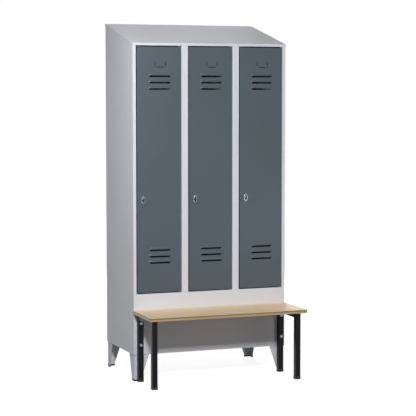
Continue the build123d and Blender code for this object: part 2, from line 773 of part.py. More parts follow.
def latch_plate(bay):
    """The oval housing: a deep rim round a recess, a neck through the door and a lug with an eye."""
    centre = (latch_x(bay), latch_height)
    lug_outer = centre[0] - latch_plate_half_width + lug_inset
    lug_root = centre[0] - barrel_radius - lug_clearance
    lug_end = centre[0] - wing_half_thickness - lug_clearance
    lug_bottom = centre[1] + wing_half_thickness + lug_clearance
    lug_top = lug_bottom + lug_thickness
    barrel_front = front - latch_rim_height - barrel_proud
    wing_front = barrel_front - wing_height
    with BuildPart() as plate:
        with BuildSketch(front_plane(front)):
            with Locations(centre):
                Ellipse(latch_plate_half_width, latch_plate_half_height)
        extrude(amount=latch_rim_height)
        fillet(plate.faces().sort_by(Axis.Y)[0].edges(), latch_rim_round)
        with BuildSketch(front_plane(front - latch_base)):
            with Locations(centre):
                Ellipse(latch_plate_half_width - latch_rim_wall, latch_plate_half_height - latch_rim_wall)
        extrude(amount=latch_rim_height, mode=Mode.SUBTRACT)
        with BuildSketch(front_plane(front)):
            with Locations(centre):
                Circle(latch_neck_radius)
        extrude(amount=-(sheet + latch_neck_length))
        with BuildSketch(front_plane(front + sheet + latch_neck_length)):
            with Locations(centre):
                Circle(spindle_radius + run_clearance)
        extrude(amount=latch_rim_height, mode=Mode.SUBTRACT)
        box_between((lug_outer, wing_front, lug_bottom), (lug_root, front - latch_rim_height / 2, lug_top))
        box_between((lug_outer, wing_front, lug_bottom), (lug_end, barrel_front - lug_clearance, lug_top))
        with BuildSketch(Plane.XY.offset(lug_bottom)):
            with Locations((centre[0] - eye_offset, wing_front + wing_height / 2)):
                Circle(eye_radius)
        extrude(amount=lug_thickness, mode=Mode.SUBTRACT)
    return plate.part


def latch_knob(bay):
    """The barrel with its winged grip, its spindle through the door and the rivet that holds the cam."""
    centre = (latch_x(bay), latch_height)
    barrel_front = front - latch_rim_height - barrel_proud
    with BuildPart() as knob:
        with BuildSketch(front_plane(front - latch_base - barrel_clearance)):
            with Locations(centre):
                Circle(barrel_radius)
        extrude(amount=latch_rim_height + barrel_proud - latch_base - barrel_clearance)
        with BuildSketch(front_plane(barrel_front)):
            with Locations(centre):
                Rectangle(2 * wing_half_thickness, 2 * wing_half_length)
        extrude(amount=wing_height)
        fillet(knob.faces().sort_by(Axis.Y)[0].edges(), wing_round)
        with BuildSketch(front_plane(front + cam_front)):
            with Locations(centre):
                Circle(spindle_radius)
        extrude(amount=cam_front + latch_rim_height)
        with BuildSketch(front_plane(front + cam_front)):
            with Locations(centre):
                Rectangle(cam_square, cam_square)
        extrude(amount=-cam_thickness)
        with BuildSketch(front_plane(front + cam_front + cam_thickness)):
            with Locations(centre):
                Circle(cam_rivet_radius)
        extrude(amount=-cam_rivet_height)
        with BuildSketch(Plane.YZ.offset(centre[0])):
            with Locations((barrel_front - wing_height / 2, centre[1] - eye_offset)):
                Circle(eye_radius)
        extrude(amount=barrel_radius, both=True, mode=Mode.SUBTRACT)
    return knob.part


def latch_cam(bay):
    """The flat cam on the spindle's square; it hangs down while the door is unlocked."""
    x = latch_x(bay)
    with BuildPart() as cam:
        with BuildSketch(front_plane(front + cam_front)):
            with Locations((x, latch_height + (cam_width / 2 - cam_reach) / 2)):
                SlotOverall(cam_reach + cam_width / 2, cam_width, rotation=90)
            with Locations((x, latch_height)):
                Rectangle(cam_square + 2 * run_clearance, cam_square + 2 * run_clearance, mode=Mode.SUBTRACT)
        extrude(amount=-cam_thickness)
    return cam.part


for bay, name in enumerate(bays):
    finish(door_panel(bay), f"door_panel_{name}")
    finish(door_stiffener(bay), f"door_stiffener_{name}")
    finish(Compound([door_bush(bay, door_bottom, 1).solid(), door_bush(bay, door_top, -1).solid()]),
           f"door_bushes_{name}")
    finish(latch_plate(bay), f"latch_plate_{name}")
    finish(latch_knob(bay), f"latch_knob_{name}")
    finish(latch_cam(bay), f"latch_cam_{name}")
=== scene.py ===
"""Scene of a steel locker of three bays, with a sloped roof and a bench bolted to its front.

The CAD nodes carry the shapes. This script gives each of them its finish, adds the spot welds and weld
beads of the sheet metal, and sets the studio and the camera. Everything is in metres, in the frame of
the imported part: +X to the right of someone who faces the doors, +Y to the back, +Z up, floor at zero.
"""

import json
import logging
import math
from dataclasses import dataclass, field
from enum import Enum
from typing import Any

import bpy
import numpy as np
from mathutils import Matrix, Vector

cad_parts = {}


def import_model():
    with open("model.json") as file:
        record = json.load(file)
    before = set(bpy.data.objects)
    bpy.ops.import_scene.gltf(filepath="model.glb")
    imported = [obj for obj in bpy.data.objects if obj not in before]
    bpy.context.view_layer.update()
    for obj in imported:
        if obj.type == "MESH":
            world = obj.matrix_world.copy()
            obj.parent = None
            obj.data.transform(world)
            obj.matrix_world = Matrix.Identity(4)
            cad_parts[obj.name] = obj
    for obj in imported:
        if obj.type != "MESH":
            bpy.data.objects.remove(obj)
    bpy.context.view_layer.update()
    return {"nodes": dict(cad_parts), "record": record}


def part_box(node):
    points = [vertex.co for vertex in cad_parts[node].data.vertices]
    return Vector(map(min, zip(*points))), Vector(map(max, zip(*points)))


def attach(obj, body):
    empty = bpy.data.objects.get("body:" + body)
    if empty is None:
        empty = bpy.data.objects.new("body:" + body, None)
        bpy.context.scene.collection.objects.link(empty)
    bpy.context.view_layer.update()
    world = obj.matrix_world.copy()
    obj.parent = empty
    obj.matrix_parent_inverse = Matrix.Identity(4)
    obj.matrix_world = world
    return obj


LOG = logging.getLogger("locker")

Colour = tuple[float, float, float, float]
Triple = tuple[float, float, float]
Span = tuple[float, float]
Socket = bpy.types.NodeSocket
Parts = dict[str, Socket]

# A share's whole range, and the ranges that nearly all and most of a noise's values lie in
SHARE: Span = (0.0, 1.0)
MOST: Span = (0.3, 0.7)
CORE: Span = (0.35, 0.65)

# The part of a normal along an axis, from where a face starts to turn that way to where it does
ENDWAYS: Span = (0.5, 0.9)
TILTED: Span = (0.35, 0.85)


class Slot(Enum):
    """The record's material slots."""

    BODY = "body_paint"
    DOOR = "door_paint"
    BENCH = "bench_paint"
    SEAT = "seat_wood"
    CHROME = "chromed_latch"
    GRIP = "black_grip"
    PLATED = "plated_steel"
    PLASTIC = "black_plastic"
    NYLON = "black_nylon"
    RUBBER = "black_rubber"


class Bay(Enum):
    """The three bays, as the nodes' names end."""

    LEFT = "left"
    MIDDLE = "middle"
    RIGHT = "right"


class Hand(Enum):
    """The left and the right side of the whole, with the sign of their X."""

    LEFT = -1
    RIGHT = 1


def screen_colour(red: int, green: int, blue: int) -> Colour:
    """Turns a colour as it looks on a screen into the linear one that a shader takes.

    Each channel c from 0 to 255 is divided by 255. Up to 0.04045 it is divided by 12.92, and above
    that it is ((c + 0.055) / 1.055) to the power 2.4.

    Args:
        red: Red from 0 to 255.
        green: Green from 0 to 255.
        blue: Blue from 0 to 255.

    Returns:
        The linear colour, with an alpha of 1.
    """
    share = np.array([red, green, blue], float) / 255
    linear = np.where(share <= 0.04045, share / 12.92, ((share + 0.055) / 1.055) ** 2.4)
    return float(linear[0]), float(linear[1]), float(linear[2]), 1.0


# Materials


class Graph:
    """One material's node tree, with short methods for the nodes that the finishes share."""

    octave_share: float = 0.55
    bevel_samples: int = 6

    def __init__(self, name: str) -> None:
        """Starts a material that has a principled shader and nothing else.

        Args:
            name: The material's name.
        """
        self.material = bpy.data.materials.new(name)
        self.material.use_nodes = True
        self.tree = self.material.node_tree
        self.tree.nodes.clear()
        self.output = self.tree.nodes.new("ShaderNodeOutputMaterial")
        self.shader = self.tree.nodes.new("ShaderNodeBsdfPrincipled")
        self.tree.links.new(self.shader.outputs["BSDF"], self.output.inputs["Surface"])
        self.place: Socket = self.add("ShaderNodeTexCoord").outputs["Object"]

    def add(self, kind: str, inputs: dict[Any, Any] | None = None, **settings: Any) -> bpy.types.Node:
        """Adds a node.

        Args:
            kind: The node's Blender type.
            inputs: Input name or number to a value, or to a socket that is linked to it.
            **settings: The node's own properties.

        Returns:
            The new node.
        """
        node = self.tree.nodes.new(kind)
        for key, value in settings.items():
            setattr(node, key, value)
        for key, value in (inputs or {}).items():
            self.feed(node, key, value)
        return node

    def feed(self, node: bpy.types.Node, key: Any, value: Any) -> None:
        """Sets one input of a node to a value, or links a socket to it.

        Args:
            node: The node.
            key: The input's name or number.
            value: The value, or the socket that is linked.
        """
        if isinstance(value, bpy.types.NodeSocket):
            self.tree.links.new(value, node.inputs[key])
        else:
            node.inputs[key].default_value = value

    def stretched(self, scale: Triple) -> Socket:
        """Object coordinates times a scale."""
        return self.add("ShaderNodeMapping", {"Vector": self.place, "Scale": scale}).outputs["Vector"]

    def split(self, vector: Socket) -> Parts:
        """The X, Y and Z of a vector."""
        node = self.add("ShaderNodeSeparateXYZ", {"Vector": vector})
        return {axis: node.outputs[axis] for axis in "XYZ"}

    def noise(self, size: float, detail: float, place: Socket | None = None, seed: float = 0.0) -> Socket:
        """Noise from 0 to 1.

        Args:
            size: The size of its largest cells, in the units of the place.
            detail: How many finer octaves it has.
            place: The coordinates that it reads, or None for object coordinates.
            seed: The fourth coordinate, which picks a different noise.

        Returns:
            The noise's value.
        """
        inputs = {"Vector": place or self.place, "W": seed, "Scale": 1 / size, "Detail": detail,
                  "Roughness": self.octave_share}
        return self.add("ShaderNodeTexNoise", inputs, noise_dimensions="4D").outputs["Fac"]

    def spread(self, value: Socket, source: Span, target: Span) -> Socket:
        """Maps a value's range from source to target, and keeps it inside.

        Args:
            value: The value.
            source: The range that it comes from.
            target: What the ends of that range become.

        Returns:
            The mapped value.
        """
        inputs = {"Value": value, "From Min": source[0], "From Max": source[1],
                  "To Min": target[0], "To Max": target[1]}
        return self.add("ShaderNodeMapRange", inputs).outputs["Result"]

    def mixed(self, share: Socket | float, first: Socket | Colour, second: Socket | Colour) -> Socket:
        """The first colour at share 0, the second at share 1."""
        node = self.add("ShaderNodeMix", {0: share, 6: first, 7: second}, data_type="RGBA")
        return node.outputs[2]

    def maths(self, operation: str, first: Socket | float, second: Socket | float = 0.0) -> Socket:
        """One arithmetic operation on two numbers."""
        return self.add("ShaderNodeMath", {0: first, 1: second}, operation=operation).outputs["Value"]

    def place_from(self, x: Socket, y: Socket, z: Socket) -> Socket:
        """One vector from three numbers."""
        return self.add("ShaderNodeCombineXYZ", {"X": x, "Y": y, "Z": z}).outputs["Vector"]

    def bump(self, height: Socket, depth: float, normal: Socket | None = None) -> Socket:
        """A normal that a height from 0 to 1 has pushed by up to depth metres.

        Args:
            height: The height's value, from 0 to 1.
            depth: How many metres a height of 1 stands for.
            normal: The normal that is pushed, or None for the surface's own.

        Returns:
            The new normal.
        """
        node = self.add("ShaderNodeBump", {"Height": height, "Distance": depth, "Strength": 1.0})
        if normal is not None:
            self.tree.links.new(normal, node.inputs["Normal"])
        return node.outputs["Normal"]

    def rounded(self, radius: float) -> Socket:
        """A normal that softens edges sharper than a radius."""
        return self.add("ShaderNodeBevel", {"Radius": radius}, samples=self.bevel_samples).outputs["Normal"]

    def shade(self, **inputs: Any) -> bpy.types.Material:
        """Feeds the principled shader, with spaces in input names written as underscores.

        Args:
            **inputs: Input name to a value, or to a socket that is linked to it.

        Returns:
            The material.
        """
        for key, value in inputs.items():
            self.feed(self.shader, key.replace("_", " "), value)
        return self.material


@dataclass(frozen=True)
class PowderCoat:
    """Satin powder coat on sheet steel, with its orange peel, the sheet's slight waves and light scuffs."""

    name: str
    colour: Colour
    shade: Colour
    scuff: Colour
    gloss: float
    roughness: float = 0.42
    drift_size: float = 0.45
    patch_size: float = 0.06
    patch_swing: float = 0.03
    peel_size: float = 0.0021
    peel_depth: float = 0.000010
    wave_size: float = 0.22
    wave_stretch: Triple = (1.0, 1.0, 0.30)
    wave_depth: float = 0.0006
    edge_radius: float = 0.0007
    scuff_size: float = 0.010
    scuff_stretch: Triple = (0.35, 1.0, 1.6)
    scuff_peaks: Span = (0.62, 0.80)
    scuff_share: float = 0.55
    scuff_dulling: float = 0.25
    scuff_foot: float = 0.02
    scuff_reach: float = 0.22
    scuff_rest: float = 0.12

    def scuffs(self, graph: Graph) -> Socket:
        """How far the scuff's colour shows, from 0 to scuff_share.

        Scuffs are the peaks of a noise drawn out along X. Their share falls from all of it at
        scuff_foot over the floor to scuff_rest of it at scuff_reach.

        Args:
            graph: The material that gets the nodes.

        Returns:
            The share.
        """
        height = graph.split(graph.place)["Z"]
        low_down = graph.spread(height, (self.scuff_foot, self.scuff_reach), (1.0, self.scuff_rest))
        streaks = graph.noise(self.scuff_size, 4.0, graph.stretched(self.scuff_stretch), 5.0)
        peaks = graph.spread(streaks, self.scuff_peaks, (0.0, self.scuff_share))
        return graph.maths("MULTIPLY", peaks, low_down)

    def build(self) -> bpy.types.Material:
        """Builds the material.

        The colour drifts between two tones over some decimetres, and the roughness between smaller
        patches. The normal comes from softened edges, then waves drawn out upwards, then fine orange peel.

        Returns:
            The finished material.
        """
        graph = Graph(self.name)
        scuffs = self.scuffs(graph)
        drift = graph.spread(graph.noise(self.drift_size, 3.0, seed=1.0), CORE, SHARE)
        waves = graph.noise(self.wave_size, 1.0, graph.stretched(self.wave_stretch), 2.0)
        peel = graph.noise(self.peel_size, 2.0, seed=3.0)
        patches = graph.noise(self.patch_size, 4.0, seed=4.0)
        tone = graph.mixed(drift, self.colour, self.shade)
        normal = graph.bump(waves, self.wave_depth, graph.rounded(self.edge_radius))
        normal = graph.bump(peel, self.peel_depth, normal)
        rough_span = (self.roughness - self.patch_swing, self.roughness + self.patch_swing)
        dulled = graph.maths("MULTIPLY", scuffs, self.scuff_dulling)
        return graph.shade(
            Base_Color=graph.mixed(scuffs, tone, self.scuff),
            Roughness=graph.maths("ADD", graph.spread(patches, MOST, rough_span), dulled),
            Specular_IOR_Level=self.gloss,
            Normal=normal,
        )


@dataclass(frozen=True)
class VarnishedBeech:
    """A board of glued beech staves along X, under a satin varnish, with end grain and darker upright
    edges, whose darkening is partly their own tone and partly painted shade.
    """

    name: str
    light: Colour
    dark: Colour
    fleck: Colour
    # Colour of the upright faces: partly the edges' own darker tone, partly painted shade
    edge: Colour
    board_top: float = 0.392
    board_thickness: float = 0.020
    stave: float = 0.051
    stave_shift: float = 3.0
    stave_tint: float = 0.36
    sway_size: float = 0.25
    sway: float = 0.008
    ring_size: float = 0.011
    ring_draw: float = 40.0
    ring_span: Span = (0.28, 0.72)
    ring_share: float = 0.72
    fine_ratio: float = 7.0
    fleck_size: float = 0.0012
    fleck_draw: float = 10.0
    fleck_peaks: Span = (0.62, 0.74)
    fleck_share: float = 0.55
    arc_pitch: float = 0.0035
    arc_span: Span = (0.35, 1.0)
    pith_drop: float = 0.35
    pith_swing: float = 0.05
    end_share: float = 0.30
    edge_and_shade_heights: Span = (0.35, 0.65)
    edge_and_shade_shares: Span = (0.45, 0.95)
    roughness_span: Span = (0.37, 0.49)
    pore_depth: float = 0.00005
    pore_share: float = 0.8
    varnish: float = 0.20
    varnish_roughness: float = 0.30

    def drawn_out(self, graph: Graph, parts: Parts, times: float, shift: Socket, across: Socket) -> Socket:
        """A place whose X is shrunk, so that a noise there is drawn out along X, and shifted."""
        along = graph.maths("ADD", graph.maths("MULTIPLY", parts["X"], 1 / times), shift)
        return graph.place_from(along, across, parts["Z"])

    def end_arcs(self, graph: Graph, parts: Parts, faces: Parts, chance: Socket, across: Socket) -> Socket:
        """How far the fleck's colour shows at the board's ends, in arcs of growth rings.

        The arcs are a sine wave over the length of the vector (chance, Y, Z + drop), where drop is
        pith_drop plus pith_swing times the chance: circles round a line far below each stave.

        Args:
            graph: The material that gets the nodes.
            parts: The place's three parts.
            faces: The normal's three parts.
            chance: The stave's chance from 0 to 1.
            across: The place's Y, bent by the sway.

        Returns:
            The share.
        """
        drop = graph.maths("ADD", graph.maths("MULTIPLY", chance, self.pith_swing), self.pith_drop)
        from_pith = graph.place_from(chance, across, graph.maths("ADD", parts["Z"], drop))
        radius = graph.add("ShaderNodeVectorMath", {0: from_pith}, operation="LENGTH").outputs["Value"]
        arcs = graph.maths("SINE", graph.maths("MULTIPLY", radius, 2 * math.pi / self.arc_pitch))
        ends = graph.spread(graph.maths("ABSOLUTE", faces["X"]), ENDWAYS, (0.0, self.end_share))
        return graph.maths("MULTIPLY", ends, graph.spread(arcs, (-1.0, 1.0), self.arc_span))

    def edge_tone_and_painted_shade(self, graph: Graph, parts: Parts, faces: Parts) -> Socket:
        """How far the edge's colour shows: only on upright faces, and more in their upper half. The
        darkening is partly the edges' own tone and partly painted shade, and the stronger darkening of the
        upper half is painted shade.

        Args:
            graph: The material that gets the nodes.
            parts: The place's three parts.
            faces: The normal's three parts.

        Returns:
            The share.
        """
        upright = graph.spread(graph.maths("ABSOLUTE", faces["Z"]), TILTED, (1.0, 0.0))
        bottom = self.board_top - self.board_thickness
        low, high = (bottom + share * self.board_thickness for share in self.edge_and_shade_heights)
        return graph.maths("MULTIPLY", upright, graph.spread(parts["Z"], (low, high), self.edge_and_shade_shares))

    def build(self) -> bpy.types.Material:
        """Builds the material.

        The stave's number is Y over the stave's width, rounded down. It shifts the grain along X and
        tints the stave. The grain is noise drawn out along X and bent by a slow noise, with a finer noise
        in it. The flecks are the peaks of another fine noise that is drawn out less.

        Returns:
            The finished material.
        """
        graph = Graph(self.name)
        parts = graph.split(graph.place)
        faces = graph.split(graph.add("ShaderNodeNewGeometry").outputs["Normal"])
        stave = graph.maths("FLOOR", graph.maths("DIVIDE", parts["Y"], self.stave))
        chance = graph.add("ShaderNodeTexWhiteNoise", {"W": stave}, noise_dimensions="1D").outputs["Value"]
        sway = graph.spread(graph.noise(self.sway_size, 1.0, seed=5.0), SHARE, (-self.sway, self.sway))
        across = graph.maths("ADD", parts["Y"], sway)

        shift = graph.maths("MULTIPLY", chance, self.stave_shift)
        grain = self.drawn_out(graph, parts, self.ring_draw, shift, across)
        rings = graph.spread(graph.noise(self.ring_size, 5.0, grain, 6.0), self.ring_span, SHARE)
        fine = graph.noise(self.ring_size / self.fine_ratio, 3.0, grain, 7.0)
        fleck_place = self.drawn_out(graph, parts, self.fleck_draw, chance, parts["Y"])
        flecks = graph.spread(graph.noise(self.fleck_size, 1.0, fleck_place, 8.0), self.fleck_peaks,
                              (0.0, self.fleck_share))

        tint = graph.spread(chance, SHARE, (-self.stave_tint, self.stave_tint))
        tone = graph.maths("ADD", graph.maths("MULTIPLY", rings, self.ring_share),
                           graph.maths("MULTIPLY", fine, 1 - self.ring_share))
        darkness = graph.spread(graph.maths("ADD", tone, tint), SHARE, SHARE)
        board = graph.mixed(darkness, self.light, self.dark)
        # Darken upright faces, more in their upper half: partly the edges' own tone, partly painted shade
        with_edge_and_shade = graph.mixed(self.edge_tone_and_painted_shade(graph, parts, faces), board, self.edge)
        with_ends = graph.mixed(self.end_arcs(graph, parts, faces, chance, across), with_edge_and_shade, self.fleck)
        relief = graph.maths("SUBTRACT", fine, graph.maths("MULTIPLY", flecks, self.pore_share))
        return graph.shade(
            Base_Color=graph.mixed(flecks, with_ends, self.fleck),
            Roughness=graph.spread(fine, MOST, self.roughness_span),
            Normal=graph.bump(relief, self.pore_depth),
            Coat_Weight=self.varnish,
            Coat_Roughness=self.varnish_roughness,
        )


@dataclass(frozen=True)
class PlatedMetal:
    """Bare plated metal, with fine wipe marks drawn out along one axis and cloudy patches."""

    name: str
    bright: Colour
    dull: Colour
    roughness: float
    swing: Span = (0.8, 1.25)
    stretch: Triple = (1.0, 1.0, 1.0)
    mark_size: float = 0.0012
    mark_depth: float = 0.000004
    cloud_size: float = 0.02
    edge_radius: float = 0.0003

    def build(self) -> bpy.types.Material:
        """Builds the material: clouds tint it and change its gloss, and marks push its normal.

        Returns:
            The finished material.
        """
        graph = Graph(self.name)
        marks = graph.noise(self.mark_size, 3.0, graph.stretched(self.stretch), 1.0)
        clouds = graph.spread(graph.noise(self.cloud_size, 3.0, seed=2.0), MOST, SHARE)
        low, high = (self.roughness * times for times in self.swing)
        return graph.shade(
            Base_Color=graph.mixed(clouds, self.bright, self.dull),
            Metallic=1.0,
            Roughness=graph.spread(clouds, SHARE, (low, high)),
            Normal=graph.bump(marks, self.mark_depth, graph.rounded(self.edge_radius)),
        )


@dataclass(frozen=True)
class Moulded:
    """Moulded plastic, nylon or rubber with a fine eroded grain and faint scuffs."""

    name: str
    colour: Colour
    scuff: Colour
    roughness: float
    gloss: float = 0.4
    scuff_size: float = 0.012
    scuff_peaks: Span = (0.5, 0.8)
    scuff_share: float = 0.6
    scuff_dulling: float = 0.12
    grain_size: float = 0.0009
    grain_depth: float = 0.000012
    edge_radius: float = 0.0004

    def build(self) -> bpy.types.Material:
        """Builds the material: scuffs lift its colour a little, and the grain pushes its normal.

        Returns:
            The finished material.
        """
        graph = Graph(self.name)
        shares = (0.0, self.scuff_share)
        scuffs = graph.spread(graph.noise(self.scuff_size, 5.0, seed=1.0), self.scuff_peaks, shares)
        grain = graph.noise(self.grain_size, 2.0, seed=2.0)
        return graph.shade(
            Base_Color=graph.mixed(scuffs, self.colour, self.scuff),
            Roughness=graph.spread(scuffs, shares, (self.roughness, self.roughness + self.scuff_dulling)),
            Specular_IOR_Level=self.gloss,
            Normal=graph.bump(grain, self.grain_depth, graph.rounded(self.edge_radius)),
        )


Finish = PowderCoat | VarnishedBeech | PlatedMetal | Moulded


def standard_finishes() -> dict[Slot, Finish]:
    """The finish of each slot.

    Returns:
        Slot to finish.
    """
    screen = screen_colour
    return {
        Slot.BODY: PowderCoat("light_grey_powder_coat", screen(222, 224, 233), screen(217, 219, 228),
                              screen(176, 177, 180), gloss=0.22),
        Slot.DOOR: PowderCoat("slate_powder_coat", screen(80, 91, 100), screen(76, 88, 94),
                              screen(120, 128, 134), gloss=0.30, roughness=0.45, wave_depth=0.0008,
                              scuff_reach=0.75),
        Slot.BENCH: PowderCoat("black_powder_coat", screen(20, 20, 28), screen(16, 16, 24),
                               screen(58, 58, 62), gloss=0.13, roughness=0.32, wave_depth=0.0),
        # The seat's fourth colour darkens its upright edges: partly their own tone, partly painted shade
        Slot.SEAT: VarnishedBeech("varnished_beech", screen(251, 225, 178), screen(233, 196, 142),
                                  screen(134, 94, 58), screen(112, 91, 66)),
        Slot.CHROME: PlatedMetal("polished_chrome", screen(176, 178, 182), screen(150, 152, 157), 0.12),
        Slot.GRIP: Moulded("black_grip", screen(16, 16, 18), screen(36, 36, 38), 0.34, gloss=0.25),
        Slot.PLATED: PlatedMetal("zinc_plate", screen(150, 153, 158), screen(124, 127, 133), 0.38,
                                 stretch=(0.2, 1.0, 1.0), mark_depth=0.00001),
        Slot.PLASTIC: Moulded("black_moulding", screen(24, 24, 25), screen(50, 50, 50), 0.52),
        Slot.NYLON: Moulded("black_nylon", screen(30, 30, 31), screen(54, 54, 54), 0.45),
        Slot.RUBBER: Moulded("black_rubber", screen(34, 34, 34), screen(62, 61, 60), 0.78, gloss=0.2),
    }


@dataclass
class FinishBook:
    """The finishes, each built once, and the record's word on which node takes which."""

    record: dict[str, Any]
    choices: dict[Slot, Finish] = field(default_factory=standard_finishes)
    built: dict[Slot, bpy.types.Material] = field(default_factory=dict)

    def material(self, slot: Slot) -> bpy.types.Material:
        """The slot's material, which is built when it is first asked for.

        Args:
            slot: The slot.

        Returns:
            The material.
        """
        if slot not in self.built:
            self.built[slot] = self.choices[slot].build()
        return self.built[slot]

    def slot_of(self, node: str) -> Slot:
        """The slot that the record gives a node."""
        return next(Slot(part["material_slot"]) for part in self.record["subparts"] if part["node"] == node)

    def dress_node(self, node: bpy.types.Object) -> None:
        """Gives a CAD node the finish of its slot.

        Args:
            node: The node's object.
        """
        material = self.material(self.slot_of(node.name))
        if not node.material_slots:
            node.data.materials.append(material)
        for holder in node.material_slots:
            holder.material = material
        LOG.info("node %s: %s", node.name, material.name)

    def dress_piece(self, piece: bpy.types.Object, slot: Slot, body: str) -> None:
        """Gives a new piece a slot's finish and lets it ride on a body.

        Args:
            piece: The new piece.
            slot: The slot that it takes its finish from.
            body: The body that it moves with.
        """
        piece.data.materials.append(self.material(slot))
        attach(piece, body)
        LOG.info("piece %s: %s, on %s", piece.name, self.material(slot).name, body)


# Meshes


def closed_shells(name: str, rings: np.ndarray, first: np.ndarray, last: np.ndarray) -> bpy.types.Object:
    """Makes one mesh of several closed shells, each a stack of rings between two poles.

    In shell s, vertex (k, j) of ring k joins (k, j + 1), (k + 1, j + 1) and (k + 1, j) in one face, with
    j wrapped round, and each pole joins every edge of its nearest ring.

    Args:
        name: The object's name.
        rings: Points of shells by rings by points by 3, in metres, anticlockwise seen from the last pole.
        first: The pole below the first ring of each shell, shells by 3.
        last: The pole above the last ring of each shell, shells by 3.

    Returns:
        The new object, linked to the scene.
    """
    shells, count, points = rings.shape[:3]
    per_shell = count * points + 2
    walls = rings.reshape(shells, count * points, 3)
    vertices = np.concatenate([walls, first[:, None], last[:, None]], axis=1)
    k, j = np.meshgrid(np.arange(count - 1), np.arange(points), indexing="ij")
    beside = (j + 1) % points
    sides = np.stack([k * points + j, k * points + beside,
                      (k + 1) * points + beside, (k + 1) * points + j], -1)
    around = np.arange(points)
    after = (around + 1) % points
    bottom = np.stack([np.full(points, count * points), after, around], -1)
    top = np.stack([np.full(points, count * points + 1), (count - 1) * points + around,
                    (count - 1) * points + after], -1)
    shift = (np.arange(shells) * per_shell)[:, None, None]
    quads = (sides.reshape(1, -1, 4) + shift).reshape(-1, 4)
    fans = (np.concatenate([bottom, top])[None] + shift).reshape(-1, 3)
    mesh = bpy.data.meshes.new(name)
    mesh.from_pydata(vertices.reshape(-1, 3).tolist(), [], quads.tolist() + fans.tolist())
    mesh.polygons.foreach_set("use_smooth", np.ones(len(mesh.polygons), bool))
    mesh.update()
    piece = bpy.data.objects.new(name, mesh)
    bpy.context.scene.collection.objects.link(piece)
    return piece


def side_axes(along: np.ndarray, steep: float = 0.9) -> tuple[np.ndarray, np.ndarray]:
    """Two unit vectors across each of the given unit vectors, which make a right-handed set with it.

    Args:
        along: Unit vectors, shells by 3.
        steep: The Z past which a vector is taken as upright, and set against X instead of Z.

    Returns:
        The two sets of vectors, each shells by 3, so that the first crossed with the second is along.
    """
    across_x, across_z = np.array([[1.0, 0.0, 0.0]]), np.array([[0.0, 0.0, 1.0]])
    helper = np.where(np.abs(along[:, 2:3]) < steep, across_z, across_x)
    one = np.cross(helper, along)
    one /= np.linalg.norm(one, axis=1, keepdims=True)
    return one, np.cross(along, one)


@dataclass(frozen=True)
class SpotWelds:
    """Spot welds under paint: shallow round dents with a faint raised rim."""

    radius: float = 0.0034
    proud: float = 0.00022
    sunk: float = 0.0003
    rim: float = 0.75
    rim_width: float = 0.18
    middle: float = 1 / 3
    shares: tuple[float, ...] = (1.0, 0.97, 0.90, 0.82, 0.75, 0.66, 0.55, 0.40, 0.20)
    sides: int = 16

    def build(self, name: str, places: np.ndarray, outwards: Triple) -> bpy.types.Object:
        """Builds one mesh of welds that all face the same way.

        From its outer edge inwards, a weld's face rises from below the sheet to a raised ring, and sinks
        again to a part of that height at the middle. At share s of the radius the height is proud times
        exp(-((s - rim) / rim_width)^2), at least middle times proud inside the ring, and minus sunk at
        s = 1. The back of the shell lies inside the sheet.

        Args:
            name: The piece's name.
            places: The welds' middles on the sheet's face, welds by 3, in metres.
            outwards: The unit vector that the face points along.

        Returns:
            The welds.
        """
        out = np.array(outwards, float)
        one, two = side_axes(np.repeat(out[None], len(places), 0))
        share = np.array(self.shares)
        rise = self.proud * np.exp(-(((share - self.rim) / self.rim_width) ** 2))
        height = np.where(share < self.rim, np.maximum(rise, self.middle * self.proud), rise)
        height[0] = -self.sunk
        turn = np.linspace(0.0, 2 * math.pi, self.sides, endpoint=False)
        spoke = (np.cos(turn)[None, :, None] * one[:, None] + np.sin(turn)[None, :, None] * two[:, None])
        rings = (places[:, None, None] + self.radius * share[None, :, None, None] * spoke[:, None]
                 + height[None, :, None, None] * out)
        return closed_shells(name, rings, places - self.sunk * out, places + self.middle * self.proud * out)


@dataclass(frozen=True)
class WeldBeads:
    """Fillet welds under paint: rippled beads with rounded ends."""

    radius: float = 0.0026
    ripple: float = 0.14
    pitch: float = 0.0022
    bluntness: int = 8
    steps: int = 56
    sides: int = 12

    def build(self, name: str, starts: np.ndarray, ends: np.ndarray) -> bpy.types.Object:
        """Builds one mesh of beads.

        At share t of its length a bead is a circle across its run, of radius
        r (1 + ripple cos(2 pi length t / pitch)) sqrt(1 - (2 t - 1)^bluntness), which closes both ends.

        Args:
            name: The piece's name.
            starts: Where the beads start, beads by 3, in metres.
            ends: Where they end.

        Returns:
            The beads.
        """
        run = ends - starts
        length = np.linalg.norm(run, axis=1)
        one, two = side_axes(run / length[:, None])
        share = np.linspace(0.0, 1.0, self.steps + 2)[1:-1]
        wave = 1 + self.ripple * np.cos(2 * math.pi * length[:, None] * share[None] / self.pitch)
        radius = self.radius * wave * np.sqrt(1 - np.abs(2 * share - 1) ** self.bluntness)[None]
        turn = np.linspace(0.0, 2 * math.pi, self.sides, endpoint=False)
        spoke = (np.cos(turn)[None, :, None] * one[:, None] + np.sin(turn)[None, :, None] * two[:, None])
        centre = starts[:, None] + share[None, :, None] * run[:, None]
        rings = centre[:, :, None] + radius[:, :, None, None] * spoke[:, None]
        return closed_shells(name, rings, starts, ends)


# Sub-assemblies


